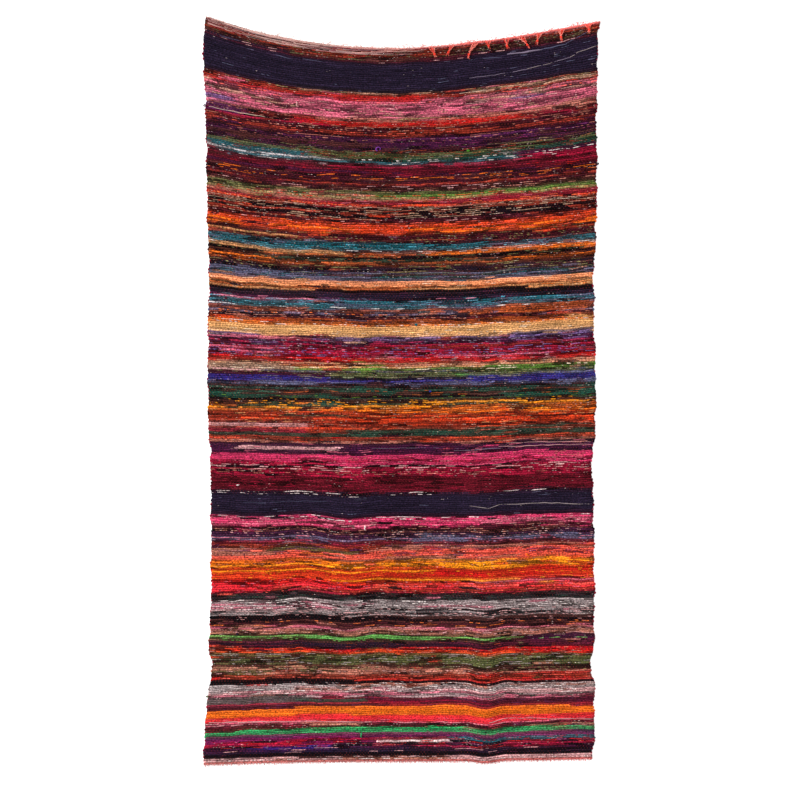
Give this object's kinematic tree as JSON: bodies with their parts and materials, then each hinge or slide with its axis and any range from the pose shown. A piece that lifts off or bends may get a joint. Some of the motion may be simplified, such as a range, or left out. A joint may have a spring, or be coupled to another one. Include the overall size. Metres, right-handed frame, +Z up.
{
  "type": "handwoven rag rug",
  "caption": "Rectangular flat-woven cotton rag rug laid flat, with cross stripes, a bowed top edge, soft ridges and short knotted warp ends.",
  "frame": {"origin": "middle of the box, on the surface that the rug lies on", "axes": "+X across the rug, +Y towards the bowed top edge, +Z up out of the face"},
  "size_m": [0.8158, 1.5472, 0.0172],
  "materials": {
    "rag_weave": "matt cotton rags in many cross stripes: navy, red, pink, green, orange, purple, black",
    "coral_warp": "matt coral cotton yarn",
    "pink_warp": "matt dusty pink cotton yarn"
  },
  "bodies": {
    "root": {"woven_cloth": "rag_weave", "top_fringe": "coral_warp", "foot_fringe": "pink_warp"}
  },
  "joints": []
}
